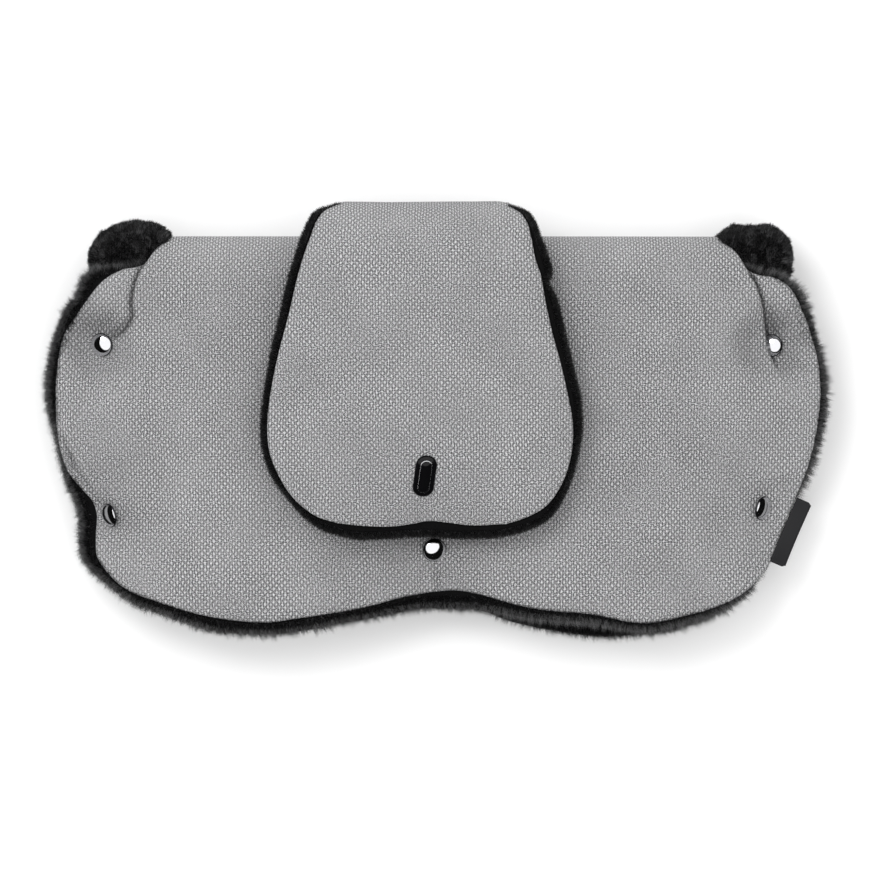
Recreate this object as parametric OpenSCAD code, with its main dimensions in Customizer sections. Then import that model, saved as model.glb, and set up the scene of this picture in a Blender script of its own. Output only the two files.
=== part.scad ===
// Hand warmer muff for a pushchair handlebar.
// A padded, fur-lined sheet is folded over the bar along +Y and closed with five press snaps.
// It lies on its back half: X runs along the bar, +Y points to the fold, +Z is up.
// The origin is at the middle of the base. All lengths are in millimetres.

/* [Outline] */
// Width of the outer fabric across both side lobes
muff_w = 486; // [476:1:496]
// Distance from the origin to the folded top edge
fold_y = 120; // [117:1:123]
// Distance from the origin to the lowest point of each hand mouth
mouth_y = 124; // [120:1:128]
// How far the bottom edge rises between the two hand mouths
notch_rise = 20; // [12:1:24]
// Height on the sides where the muff is widest
widest_y = 14; // [10:1:18]
// Half length of the straight fold over the bar
fold_half = 178; // [174:1:182]
// How far the fur stands out past the fabric's edge
fur_margin = 6; // [4:0.5:7]

/* [Layers] */
// Thickness of the outer fabric
cover_t = 1.2; // [1:0.1:1.4]
// Thickness of the wadding in both halves
wadding_t = 4; // [3.5:0.1:4.5]
// Thickness of the fur lining, pressed flat
lining_t = 7; // [6.5:0.1:7.5]
// Thickness of the flap's wadding
flap_wadding_t = 4; // [3.5:0.1:4.5]
// Thickness of the flap's fur lining
flap_lining_t = 5; // [4.5:0.1:5.5]

/* [Handlebar tunnel] */
// Radius of the handlebar that the tunnel holds
bar_r = 16; // [15:0.5:17]
// Angle either side of straight down over which the bar sinks into the lining
cradle_angle = 30; // [27:1:33]
// Length of each fur cuff along the bar
cuff_len = 44; // [40:1:48]
// How thick each fur cuff stands on the bar
cuff_t = 22; // [18:1:24]

/* [Hand room] */
// How much lower the front half lies at the hand mouths than at the bar
mouth_sag = 4; // [2:0.5:6]
// Share of the inner height that is lost along the closed sides
side_drop = 0.5; // [0.4:0.05:0.6]

/* [Flap and pocket] */
// Distance of the flap's middle line from the muff's middle line
flap_x = -9; // [-12:1:0]
// Half width of the flap at its widest
flap_half = 94.5; // [90:0.5:98]
// Half width of the flap where it goes over the fold
flap_neck = 63; // [60:1:66]
// Distance from the origin to the flap's free end
flap_end_y = 63; // [58:1:64]
// Depth of the phone pocket under the flap, front to back
pocket_depth = 6; // [5.5:0.1:6.2]
// Half width of the phone pocket
pocket_half = 62; // [56:1:64]

/* [Press snaps] */
// Radius of the domed cap
cap_r = 7.5; // [7:0.1:8]
// Height of the domed cap
cap_h = 3.2; // [2.6:0.1:3.6]
// Radius of the socket
socket_r = 6.2; // [5.8:0.1:6.6]
// Height of the closed stud and socket between the linings
snap_stack = 4.2; // [4:0.1:4.6]

/* [Trim] */
// Length of the blank plate on the flap
badge_len = 28; // [24:1:30]
// Width of the blank plate on the flap
badge_w = 13; // [11:1:15]
// Length of the blank side label along the seam
label_len = 44; // [40:1:48]
// How far the side label stands out from the seam
label_out = 10; // [8:1:12]

/* [Hidden] */
$fn = 48;
PLACES = ["upper_left", "upper_right", "lower_left", "lower_right", "centre"];
function snap_nodes(piece) = [for (place = PLACES) str("snap_", piece, "_", place)];

grey = [0.63, 0.63, 0.64];
fur_black = [0.11, 0.11, 0.115];
wadding_white = [0.9, 0.9, 0.88];
metal = [0.72, 0.73, 0.75];
black_metal = [0.06, 0.06, 0.065];
label_grey = [0.2, 0.2, 0.21];

// Clearances: between layers sewn together, across the fold split, and around shafts.
gap = 0.1;
split_gap = 0.15;
shaft_gap = 0.4;
bar_gap = 0.25;

// Heights of the back half's layers, from the ground up.
back_wadding_z = cover_t + gap;
back_lining_z = back_wadding_z + wadding_t + gap;
layers_t = back_lining_z + lining_t;

// The bar's axis: the fold wraps it with the same layers all round.
bar_z = layers_t + bar_r;
bar_y = fold_y - bar_z;
lining_top = bar_z - bar_r * cos(cradle_angle);

// The front half runs round the bar a little further out, so that the bar turns freely.
front_r = bar_r + 0.6;
arc_len = bar_z * PI / 2;
snap_z = lining_top + snap_stack;
room_top = bar_z + front_r - snap_z;

// Offsets of the front half's layers from its inner surface, and of what lies on it.
front_wadding_off = lining_t + gap;
front_cover_off = front_wadding_off + wadding_t + gap;
front_t = front_cover_off + cover_t;
pocket_off = front_t + 0.8;
pocket_top_off = pocket_off + pocket_depth + cover_t;
flap_off = pocket_top_off + 1.4;
flap_wadding_off = flap_off + flap_lining_t + gap;
flap_cover_off = flap_wadding_off + flap_wadding_t + gap;
flap_top_off = flap_cover_off + cover_t;

// The fur cuffs run between these angles, measured over the bar from its top.
cuff_angles = [58, 120];

// Snap places: [x, y, reach of the dimple around it].
snap_flat = 8;
SNAPS = [
    [-212, 51.5, 14],
    [212, 51.5, 14],
    [-205, -54, 32],
    [205, -54, 32],
    [0, -78, 45]
];
shaft_r = 1.9;
post_flange_r = 5;
post_flange_t = 1.1;
stud_flange_r = 5;
stud_flange_t = 1;
stud_r = 2.3;
stud_bore_r = 3.3;
socket_gap = 0.3;
socket_roof_t = 0.6;

// The flap is sewn to the front half here, as an angle past the top of the bar.
flap_seam_angle = 50;
flap_side_slope = 4.6;
flap_widest_y = 3;
flap_corner_y = -11;
pocket_y = [-22, 78];

badge_at = [flap_x + 2, -31];
magnet_at = [flap_x + 2, -49];
magnet_r = 7;
magnet_gap = 1;
magnet_t = 1.5;

label_at = [224.4, -67];
label_angle = 65;
label_t = 0.8;
label_z = 22;

// ---- Shape functions -------------------------------------------------------------------------

function smooth(t) = t <= 0 ? 0 : t >= 1 ? 1 : t * t * (3 - 2 * t);

// Share of the free height left near the snaps: 0 on each snap and 1 away from them all.
function pinch(x, y, i = 0) = i == len(SNAPS) ? 1 :
    let (d = max(0, norm([x, y] - [SNAPS[i][0], SNAPS[i][1]]) - snap_flat) / SNAPS[i][2])
    (1 - exp(-d * d)) * pinch(x, y, i + 1);

// Free height above the snaps' level: full over the bar, lower at the mouths and the sides.
function room(x, y) =
    let (down = (bar_y - y) / (bar_y + mouth_y))
    let (side = smooth((abs(x) - 185) / 55) * (1 - smooth((y - bar_y + 46) / 22)))
    (room_top - mouth_sag * max(0, down)) * (1 - side_drop * side);

function inner_z(x, y) = snap_z + room(x, y) * pinch(x, y);

// A point of the front half: v is measured over the fold and down the front, off is outwards.
function place(x, v, off) = v < arc_len ?
    let (a = 90 * (1 - v / arc_len))
    [x, bar_y + (front_r + off) * sin(a), inner_z(x, bar_y) + off - (front_r + off) * (1 - cos(a))] :
    let (y = bar_y + arc_len - v)
    [x, y, inner_z(x, y) + off];

function v_at(y, r) = y < bar_y ? arc_len + bar_y - y :
    arc_len * (1 - asin(min(1, (y - bar_y) / r)) / 90);

// Outline of the muff, m wider all round. The top is the line that the corners leave the fold at.
function half_w(m) = muff_w / 2 + m;
function top_y(x, m) = widest_y + (88 + m) * pow(max(0, 1 - pow(abs(x) / half_w(m), 12)), 0.6);
function notch(x) = abs(x) < 130 ? notch_rise * pow(cos(90 * x / 130), 2) : 0;
function bottom_y(x, m) = notch(x) + widest_y
    - (mouth_y + widest_y + m) * pow(max(0, 1 - pow(abs(x) / half_w(m), 6)), 0.62);

function flap_bottom_y(rel) = flap_corner_y
    - (flap_end_y + flap_corner_y) * pow(max(0, 1 - pow(abs(rel) / flap_half, 5)), 0.556);
function flap_side_y(rel) = flap_widest_y + (flap_half - abs(rel)) * flap_side_slope;

// ---- Sheets ----------------------------------------------------------------------------------

// Rows of a column from v0 to v1: arc_rows of them go over the fold if the column reaches it.
function rows(v0, v1, arc_rows, flat_rows) = v0 < arc_len ?
    concat(
        [for (j = [0:arc_rows - 1]) v0 + (arc_len - v0) * j / arc_rows],
        [for (j = [0:flat_rows]) arc_len + (v1 - arc_len) * j / flat_rows]
    ) :
    [for (j = [0:arc_rows + flat_rows]) v0 + (v1 - v0) * j / (arc_rows + flat_rows)];

// A closed sheet between two offsets. COLUMNS holds [x, first v, last v].
module sheet(columns, arc_rows, flat_rows, off0, off1) {
    nx = len(columns);
    ny = arc_rows + flat_rows + 1;
    grid = [for (c = columns) rows(c[1], c[2], arc_rows, flat_rows)];
    function layer(off) = [for (i = [0:nx - 1]) for (v = grid[i]) place(columns[i][0], v, off)];
    function at(side, i, j) = side * nx * ny + i * ny + j;
    function quad(a, b, c, d) = [[a, b, c], [a, c, d]];
    skins = [
        for (i = [0:nx - 2]) for (j = [0:ny - 2])
        concat(
            quad(at(0, i, j), at(0, i, j + 1), at(0, i + 1, j + 1), at(0, i + 1, j)),
            quad(at(1, i, j), at(1, i + 1, j), at(1, i + 1, j + 1), at(1, i, j + 1))
        )
    ];
    ends = [
        for (i = [0:nx - 2])
        concat(
            quad(at(0, i, 0), at(0, i + 1, 0), at(1, i + 1, 0), at(1, i, 0)),
            quad(at(0, i, ny - 1), at(1, i, ny - 1), at(1, i + 1, ny - 1), at(0, i + 1, ny - 1))
        )
    ];
    sides = [
        for (j = [0:ny - 2])
        concat(
            quad(at(0, 0, j), at(1, 0, j), at(1, 0, j + 1), at(0, 0, j + 1)),
            quad(at(0, nx - 1, j), at(0, nx - 1, j + 1), at(1, nx - 1, j + 1), at(1, nx - 1, j))
        )
    ];
    faces = [for (group = concat(skins, ends, sides)) for (face = group) face];
    polyhedron(concat(layer(off0), layer(off1)), faces, convexity = 6);
}

// Columns of the front half: even ones along the fold, then closer ones round the side lobe.
fold_end_x = fold_half - 2;
SIDE_STEPS = [0, 0.18, 0.35, 0.525, 0.7, 0.84, 0.94, 0.992];
function side_x(step) = fold_half + (half_w(0) - fold_half) * step;
function front_column(x) = abs(x) <= fold_end_x ?
    [x, 0.3, v_at(bottom_y(x, 0), front_r)] :
    [x, v_at(min(top_y(x, 0), bar_y + 4), bar_z), v_at(bottom_y(x, 0), front_r)];
front_columns = [
    for (x = concat(
        [for (i = [0:7]) -side_x(SIDE_STEPS[7 - i])],
        [for (i = [-12:12]) fold_end_x * i / 12],
        [for (s = SIDE_STEPS) side_x(s)]
    )) front_column(x)
];

module front_sheet(off0, off1) {
    sheet(front_columns, 5, 17, off0, off1);
}

// Columns of the flap: the neck ones start at the seam, the others on the flap's slanting sides.
flap_seam_v = arc_len * (1 - flap_seam_angle / 90);
flap_r = front_r + flap_off;
function flap_column(rel) = [
    flap_x + rel,
    max(flap_seam_v, v_at(flap_side_y(rel), flap_r)),
    v_at(flap_bottom_y(rel), flap_r)
];
FLAP_STEPS = [0, 0.3, 0.55, 0.75, 0.9, 0.985];
function flap_side_x(step) = flap_neck + (flap_half - flap_neck) * step;
flap_columns = [
    for (rel = concat(
        [for (i = [0:5]) -flap_side_x(FLAP_STEPS[5 - i])],
        [for (i = [-4:4]) flap_neck * i / 5],
        [for (s = FLAP_STEPS) flap_side_x(s)]
    )) flap_column(rel)
];

module flap_sheet(off0, off1) {
    sheet(flap_columns, 4, 11, off0, off1);
}

// A flat layer of the back half with its quarter turn round the bar, up to the split at the fold.
module back_outline(m) {
    side = [for (i = [0:24]) half_w(m) * sin(90 * i / 24)];
    right_top = [for (x = side) if (x > fold_half) [x, top_y(x, m)]];
    right_bottom = [for (i = [0:24]) [side[24 - i], bottom_y(side[24 - i], m)]];
    right = concat([[fold_half, bar_y], [fold_half, top_y(fold_half, m)]], right_top, right_bottom);
    left = [for (i = [1:len(right)]) [-right[len(right) - i][0], right[len(right) - i][1]]];
    polygon(concat(right, [for (p = left) if (p[0] < 0) p]));
}

module back_flat(m, z0, z1) {
    translate([0, 0, z0]) linear_extrude(z1 - z0) back_outline(m);
}

module back_turn(z0, arc_r) {
    translate([-fold_half, bar_y, bar_z]) rotate([90, 0, 90]) linear_extrude(2 * fold_half)
        intersection() {
            difference() {
                circle(bar_z - z0, $fn = 96);
                circle(arc_r, $fn = 96);
            }
            translate([0, -2 * bar_z - split_gap]) square(2 * bar_z);
        }
}

module back_layer(m, z0, z1, arc_r) {
    back_flat(m, z0, z1);
    back_turn(z0, arc_r);
}

// A place on the front half at an offset, tilted to lie along the surface there.
module on_front(at, off) {
    tilt = atan((inner_z(at[0], at[1] + 1) - inner_z(at[0], at[1] - 1)) / 2);
    translate([at[0], at[1], inner_z(at[0], at[1]) + off]) rotate([tilt, 0, 0]) children();
}

module at_snap(i) {
    translate([SNAPS[i][0], SNAPS[i][1], 0]) children();
}

module shaft(z0, z1, r) {
    translate([0, 0, z0]) cylinder(z1 - z0, r, r);
}

// Room for the handlebar, right through the muff.
module bar_room(r) {
    translate([-muff_w, bar_y, bar_z]) rotate([0, 90, 0]) cylinder(2 * muff_w, r, r);
}

// Room for the snaps' shafts in the back half.
module back_holes() {
    for (i = [0:len(SNAPS) - 1]) at_snap(i) shaft(-1, lining_top + 1, shaft_r + shaft_gap);
}

// Room for the snaps' shafts, caps and sockets in the front half.
module front_seats() {
    for (i = [0:len(SNAPS) - 1]) at_snap(i) {
        shaft(snap_z - 2, snap_z + front_t + 2, shaft_r + shaft_gap);
        shaft(snap_z + front_t, snap_z + front_t + 30, cap_r + shaft_gap);
        shaft(snap_z - 12, snap_z, socket_r + shaft_gap);
    }
}

module stadium(w, l, h) {
    translate([-w / 2, -(l - w) / 2, 0]) cube([w, l - w, h]);
    for (side = [-1, 1]) translate([0, side * (l - w) / 2, 0]) cylinder(h, w / 2, w / 2);
}

// ---- Back half -------------------------------------------------------------------------------

module back_cover() {
    color(grey) difference() {
        back_layer(0, 0, cover_t, bar_z - cover_t);
        for (i = [0:len(SNAPS) - 1]) at_snap(i) shaft(-1, cover_t + 1, post_flange_r + shaft_gap);
    }
}

module back_wadding() {
    color(wadding_white) difference() {
        back_layer(-2, back_wadding_z, back_wadding_z + wadding_t, bar_z - back_wadding_z - wadding_t);
        back_holes();
    }
}

module back_lining() {
    color(fur_black) difference() {
        union() {
            difference() {
                back_flat(fur_margin, back_lining_z, lining_top);
                bar_room(bar_r + bar_gap);
            }
            back_turn(back_lining_z, bar_r);
        }
        back_holes();
    }
}

// Half an ellipse turned round the far side of the bar.
module fur_cuff(side) {
    outline = [
        for (i = [0:16])
        let (a = 180 * i / 16)
        [bar_r + cuff_t * sin(a), cuff_len / 2 * (1 - cos(a))]
    ];
    color(fur_black)
        translate([side * (fold_half + gap), bar_y, bar_z])
        rotate([0, side * 90, 0])
        rotate([0, 0, side > 0 ? 180 - cuff_angles[1] : cuff_angles[0]])
        rotate_extrude(angle = cuff_angles[1] - cuff_angles[0])
        polygon(outline);
}

// ---- Front half ------------------------------------------------------------------------------

module front_cover() {
    color(grey) difference() {
        front_sheet(front_cover_off, front_t);
        front_seats();
    }
}

module front_wadding() {
    color(wadding_white) difference() {
        front_sheet(front_wadding_off, front_wadding_off + wadding_t);
        front_seats();
        on_front(magnet_at, front_wadding_off) shaft(-6, wadding_t + 6, magnet_r + magnet_gap);
    }
}

module front_lining() {
    color(fur_black) difference() {
        front_sheet(0, lining_t);
        front_seats();
        bar_room(bar_r + bar_gap);
    }
}

module front_magnet() {
    color(metal) on_front(magnet_at, front_wadding_off + (wadding_t - magnet_t) / 2)
        cylinder(magnet_t, magnet_r, magnet_r);
}

// An open-topped patch: the outer shell less the room inside it.
module pocket_panel() {
    function columns(half, y0, y1) = [
        for (i = [-4:4]) [flap_x + half * i / 4, v_at(y1, front_r), v_at(y0, front_r)]
    ];
    inside = pocket_half - cover_t;
    color(grey) difference() {
        sheet(columns(pocket_half, pocket_y[0], pocket_y[1]), 1, 9, pocket_off, pocket_top_off);
        sheet(columns(inside, pocket_y[0] + cover_t, bar_y - 1), 1, 9, front_t, pocket_top_off - cover_t);
    }
}

// A blank strip that stands out from the side seam.
module side_label() {
    color(label_grey) difference() {
        translate([label_at[0], label_at[1], label_z]) rotate([0, 0, label_angle])
            translate([-label_len / 2, -label_out, 0]) cube([label_len, 2 * label_out, label_t]);
        linear_extrude(100) polygon([
            for (y = [-140:20:20])
            let (side = pow(max(0, 1 - pow((widest_y - y) / (mouth_y + widest_y), 1 / 0.62)), 1 / 6))
            [max(1, half_w(0) * side + 0.5), y]
        ]);
    }
}

// ---- Flap ------------------------------------------------------------------------------------

module badge_prongs(z0, z1, r) {
    for (side = [-1, 1]) translate([0, side * badge_len / 4, 0]) shaft(z0, z1, r);
}

module flap_cover() {
    color(grey) difference() {
        flap_sheet(flap_cover_off, flap_top_off);
        on_front(badge_at, flap_top_off) badge_prongs(-6, 3, 0.9 + shaft_gap);
    }
}

module flap_wadding() {
    color(wadding_white) difference() {
        flap_sheet(flap_wadding_off, flap_wadding_off + flap_wadding_t);
        on_front(magnet_at, flap_wadding_off) shaft(-6, flap_wadding_t + 6, magnet_r + magnet_gap);
        on_front(badge_at, flap_top_off) translate([0, 0, -2.9]) stadium(badge_w, badge_len, 6);
    }
}

module flap_lining() {
    color(fur_black) flap_sheet(flap_off, flap_off + flap_lining_t);
}

module flap_magnet() {
    color(metal) on_front(magnet_at, flap_wadding_off + (flap_wadding_t - magnet_t) / 2)
        cylinder(magnet_t, magnet_r, magnet_r);
}

module badge() {
    color(black_metal) on_front(badge_at, flap_top_off) {
        translate([0, 0, 0.9]) stadium(badge_w, badge_len, 1.8);
        badge_prongs(-1.8, 1, 0.9);
    }
}

module badge_backing() {
    color(metal) on_front(badge_at, flap_top_off) difference() {
        translate([0, 0, -2.4]) stadium(badge_w - 3, badge_len - 3, 0.6);
        badge_prongs(-4, 0, 0.95);
    }
}

// ---- Press snaps -----------------------------------------------------------------------------

// Domed cap on the outside of the front half, with its shaft down into the socket.
module snap_cap(i) {
    ball_r = (cap_r * cap_r + cap_h * cap_h) / (2 * cap_h);
    color(metal) at_snap(i) {
        translate([0, 0, snap_z + front_t + 0.05]) rotate_extrude($fn = 64) intersection() {
            translate([0, cap_h - ball_r]) circle(ball_r, $fn = 128);
            square([cap_r, cap_h]);
        }
        shaft(snap_z - socket_roof_t, snap_z + front_t + 0.1, shaft_r);
    }
}

// Cup on the inside of the front half that the stud snaps into.
module snap_socket(i) {
    low_z = lining_top + stud_flange_t + socket_gap;
    color(metal) at_snap(i) difference() {
        shaft(low_z, snap_z, socket_r);
        shaft(low_z - 1, snap_z - socket_roof_t, stud_bore_r);
        shaft(low_z - 1, snap_z + 1, shaft_r + 0.05);
    }
}

// Flanged stud on the inside of the back half.
module snap_stud(i) {
    color(metal) at_snap(i) difference() {
        union() {
            shaft(lining_top, lining_top + stud_flange_t, stud_flange_r);
            shaft(lining_top, snap_z - socket_roof_t - socket_gap, stud_r);
        }
        shaft(lining_top - 1, lining_top + 2, shaft_r + 0.05);
    }
}

// Flat post on the outside of the back half, with its shaft up into the stud.
module snap_post(i) {
    color(metal) at_snap(i) {
        shaft(0, post_flange_t, post_flange_r);
        shaft(0, lining_top + 1.5, shaft_r);
    }
}

// ---- Nodes -----------------------------------------------------------------------------------

back_cover();
back_wadding();
back_lining();
fur_cuff(-1);  // fur_cuff_left
fur_cuff(1);  // fur_cuff_right
front_cover();
front_wadding();
front_lining();
front_magnet();
pocket_panel();
side_label();
flap_cover();
flap_wadding();
flap_lining();
flap_magnet();
badge();
badge_backing();
for (i = [0:len(PLACES) - 1]) {
    snap_cap(i);
    snap_socket(i);
    snap_stud(i);
    snap_post(i);
}
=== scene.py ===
import math

import bmesh
import bpy
import numpy as np
from mathutils import Matrix, Vector
from mathutils.kdtree import KDTree


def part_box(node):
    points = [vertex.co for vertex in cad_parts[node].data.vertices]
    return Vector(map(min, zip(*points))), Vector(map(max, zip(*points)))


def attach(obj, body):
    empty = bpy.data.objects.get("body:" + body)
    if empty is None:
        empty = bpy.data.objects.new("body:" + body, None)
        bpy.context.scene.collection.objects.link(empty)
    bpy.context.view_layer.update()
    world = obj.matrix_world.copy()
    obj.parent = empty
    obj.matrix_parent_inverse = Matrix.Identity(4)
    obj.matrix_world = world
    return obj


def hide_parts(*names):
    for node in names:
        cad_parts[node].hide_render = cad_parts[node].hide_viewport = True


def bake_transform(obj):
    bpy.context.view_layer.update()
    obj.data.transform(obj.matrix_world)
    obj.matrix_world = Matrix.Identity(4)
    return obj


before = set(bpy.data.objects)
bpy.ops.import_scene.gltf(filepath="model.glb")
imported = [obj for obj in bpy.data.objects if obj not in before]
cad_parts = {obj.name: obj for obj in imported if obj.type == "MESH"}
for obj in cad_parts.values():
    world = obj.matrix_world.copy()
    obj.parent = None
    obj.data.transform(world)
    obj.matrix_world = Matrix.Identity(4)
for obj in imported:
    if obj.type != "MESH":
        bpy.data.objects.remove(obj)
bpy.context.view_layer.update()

MM = 0.001
rng = np.random.default_rng(7)

# ---------------------------------------------------------------- shape of the muff, in mm
BAR_Y, BAR_Z = 91.6, 28.4
FOLD_R = 29.0
FRONT_R, BACK_R = 16.6, 16.0
LAYERS = 12.4
LINING = 6.9
COVER_IN = 7.1
RIM_DROP, RIM_W = 6.0, 15.0
INNER_Z, INNER_ROOM = 18.744, 26.256  # the pressed layers' height, and how far the front rises above it
ROOM_LOSS, ROOM_REACH = 4.0, 215.6  # the room shrinks by this much from the bar to the lower edge
SIDE_X, SIDE_W = 185.0, 55.0
SIDE_Y, SIDE_FADE = 45.6, 22.0
CAP_SEAT = 8.0
APEX_V = BAR_Y + FOLD_R * math.pi / 2
BACK_V = BAR_Y + FOLD_R * math.pi
SNAPS = {
    "upper_left": (-212.0, 51.5, 14.0),
    "upper_right": (212.0, 51.5, 14.0),
    "lower_left": (-205.0, -54.0, 32.0),
    "lower_right": (205.0, -54.0, 32.0),
    "centre": (0.0, -78.0, 45.0),
}


def smooth(t):
    t = np.clip(t, 0.0, 1.0)
    return t * t * (3.0 - 2.0 * t)


def pinch(x, y):
    """1 away from the snaps, and 0 at each of them, where the layers are pressed together."""
    out = np.ones_like(x)
    for sx, sy, w in SNAPS.values():
        d = np.maximum(0.0, np.hypot(x - sx, y - sy) - CAP_SEAT)
        out = out * (1.0 - np.exp(-((d / w) ** 2)))
    return out


def inner_z(x, y):
    """Height of the front half's inner face."""
    room = INNER_ROOM - ROOM_LOSS * np.maximum(0.0, (BAR_Y - y) / ROOM_REACH)
    side = smooth((np.abs(x) - SIDE_X) / SIDE_W) * (1.0 - smooth((y - SIDE_Y) / SIDE_FADE))
    return INNER_Z + room * (1.0 - 0.5 * side) * pinch(x, y)


def lay(x, v, off):
    """Puts a point of the flat pattern on the muff: v runs up the front, over the fold and down the back."""
    x, v, off = np.broadcast_arrays(
        np.asarray(x, float), np.asarray(v, float), np.asarray(off, float)
    )
    turn = np.clip((v - BAR_Y) / FOLD_R, 0.0, math.pi)
    share = smooth((turn - 1.2) / 0.8)
    radius = FRONT_R + (BACK_R - FRONT_R) * share + off
    hub = (inner_z(x, np.full_like(x, BAR_Y)) - FRONT_R) * (1.0 - share) + BAR_Z * share
    y = BAR_Y + radius * np.sin(turn)
    z = hub + radius * np.cos(turn)
    front = v < BAR_Y
    y = np.where(front, v, y)
    z = np.where(front, inner_z(x, v) + off, z)
    back = v > BACK_V
    y = np.where(back, BAR_Y - (v - BACK_V), y)
    z = np.where(back, BAR_Z - BACK_R - off, z)
    return np.stack([x, y, z], -1)


def front_v(y, radius=FOLD_R):
    """Pattern length of a point that is seen from above at y on the front."""
    y = np.asarray(y, float)
    s = np.clip((y - BAR_Y) / radius, 0.0, 1.0)
    return np.where(y <= BAR_Y, y, BAR_Y + FOLD_R * np.arcsin(s))


def back_v(y):
    return BAR_Y * 2 + FOLD_R * math.pi - front_v(y)


# ---------------------------------------------------------------- outlines, in mm, as seen from above
FRONT_BOTTOM = [(-209, -91), (-198, -101), (-183, -108), (-147, -119), (-111, -123.6), (-87, -121),
                (-48, -115), (-20, -108), (8, -104), (26, -106), (52, -113), (72, -116.3),
                (98, -118.5), (131, -124), (162, -118), (181, -112), (196, -103.5), (209.5, -90)]
FRONT_LEFT = [(-209, -91), (-214.6, -82), (-215.6, -70), (-215, -58.5), (-215.4, -54), (-218, -47),
              (-224.5, -39.5), (-232, -30), (-236.8, -17), (-239.6, 0), (-240.2, 18), (-239.5, 35),
              (-235.5, 56),
              (-223, 75), (-210, 91), (-198, 99.3), (-188, 101.3), (-182, 104.5), (-177.5, 112),
              (-172.5, 118.5), (-169, 122)]
FRONT_RIGHT = [(209.5, -90), (218.5, -67), (227.5, -45.5), (233.7, -30), (238, -15), (241.5, 4),
               (243, 22), (241, 43), (236, 59.4), (231, 72), (223.5, 86), (213, 93.7), (202, 96),
               (195.5, 100), (191, 107.5), (186, 114.5), (182, 120)]
BACK_BOTTOM = [(-209, -91), (-198, -101), (-183, -108), (-147, -119), (-111, -123), (-87, -121),
               (-48, -115), (-20, -108), (8, -104), (30, -110), (52, -118), (78, -124),
               (107, -128.5), (142, -126.5), (162, -122), (181, -114), (197, -104), (209.5, -90)]
FUR_BOTTOM = [(-212, -98), (-192, -112), (-171, -120), (-141, -130), (-106, -132.3), (-84, -130),
              (-58, -125), (-32, -120.5), (-11, -116.5), (12, -116), (30, -116.5), (62, -122.5),
              (98, -125), (131, -130), (162, -124), (181, -117.5), (197, -106), (205.5, -94)]
FUR_LEFT = [(-212, -98), (-222.5, -87.7), (-226.8, -76), (-227, -62), (-230, -48), (-235.5, -35),
            (-241.5, -8), (-245.6, 6), (-247.8, 22), (-246, 40.5), (-242.6, 56), (-234.4, 75),
            (-226, 86), (-222.3, 96), (-212, 103.5), (-198, 104.5), (-188, 106.5), (-181, 112),
            (-175, 118), (-170, 121)]
FUR_RIGHT = [(205.5, -94), (213, -82), (219.5, -66), (229.5, -44.5), (237, -30), (241, -17), (245.7, 0),
             (247.8, 22), (245.4, 43), (240.5, 59.4), (233, 81), (225.8, 90.5), (215, 99), (202, 101.5),
             (194, 108), (186, 116), (181, 121)]
FUR_BACK_BOTTOM = [(-210, -96), (-192, -109), (-171, -117), (-141, -127), (-106, -129), (-84, -127),
                   (-58, -122), (-32, -117.5), (-11, -115), (12, -116.5), (30, -117.5), (50, -125),
                   (78, -131), (107, -134.6), (142, -132.6), (162, -127.6), (181, -119), (199, -106),
                   (205.5, -94)]
FLAP_LEFT = [(-62, -60.5), (-74.3, -56.5), (-85, -49), (-93, -40), (-99, -29.4), (-103.8, -17),
             (-105.3, -5), (-104.8, 10), (-102, 28.6), (-97.7, 48), (-92, 69.5), (-87, 91),
             (-82.5, 108), (-78.4, 120), (-74.3, 130.6), (-69, 137.5), (-64, 141)]
FLAP_RIGHT = [(44, -61.3), (56.7, -57), (68.7, -50), (76.5, -40), (82, -28), (85.2, -13),
              (85.4, 2.7), (82.5, 19), (78, 39), (72.9, 57.6), (68.8, 76), (65.6, 94), (62.2, 105),
              (59.5, 120), (57, 129), (51, 137.5), (46, 141)]
FLAP_BOTTOM = [(-62, -60.5), (-47, -62.3), (-29, -63), (-16, -61.5), (-4.4, -59.6), (7.6, -60.6),
               (23, -62.3), (44, -61.3)]


def line(points, n=None, at=None):
    """A smooth curve through the points, as n points evenly spaced or at the given shares of its length."""
    p = np.array(points, float)
    ext = np.vstack([2 * p[0] - p[1], p, 2 * p[-1] - p[-2]])
    t = np.linspace(0.0, 1.0, 24, endpoint=False)[:, None]
    parts = []
    for i in range(1, len(ext) - 2):
        a, b, c, d = ext[i - 1 : i + 3]
        parts.append(
            0.5
            * (2 * b + (c - a) * t + (2 * a - 5 * b + 4 * c - d) * t**2 + (3 * b - a - 3 * c + d) * t**3)
        )
    q = np.vstack(parts + [p[-1:]])
    run = np.concatenate([[0.0], np.cumsum(np.hypot(*np.diff(q, axis=0).T))])
    share = np.linspace(0.0, 1.0, n) if at is None else np.asarray(at, float)
    return np.stack([np.interp(share * run[-1], run, q[:, k]) for k in (0, 1)], -1)


def fill(bottom, top, left, right, s, t):
    """Points inside four boundary curves, rows from bottom to top."""
    b, u = line(bottom, at=s)[None], line(top, at=s)[None]
    l, r = line(left, at=t)[:, None], line(right, at=t)[:, None]
    s, t = s[None, :, None], t[:, None, None]
    corner = (1 - s) * (1 - t) * b[:, :1] + s * (1 - t) * b[:, -1:]
    corner = corner + (1 - s) * t * u[:, :1] + s * t * u[:, -1:]
    return (1 - t) * b + t * u + (1 - s) * l + s * r - corner


def to_pattern(points, convert):
    p = np.array(points, float)
    return np.stack([p[:, 0], convert(p[:, 1])], -1)


def point_tree(points):
    tree = KDTree(len(points))
    for i, (a, b) in enumerate(points):
        tree.insert((a, b, 0.0), i)
    tree.balance()
    return tree


def edge_distance(flat, dense):
    """Distance of each pattern point from a line of closely spaced points."""
    tree = point_tree(dense)
    return np.array([tree.find((a, b, 0.0))[2] for a, b in flat.reshape(-1, 2)]).reshape(flat.shape[:-1])


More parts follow.
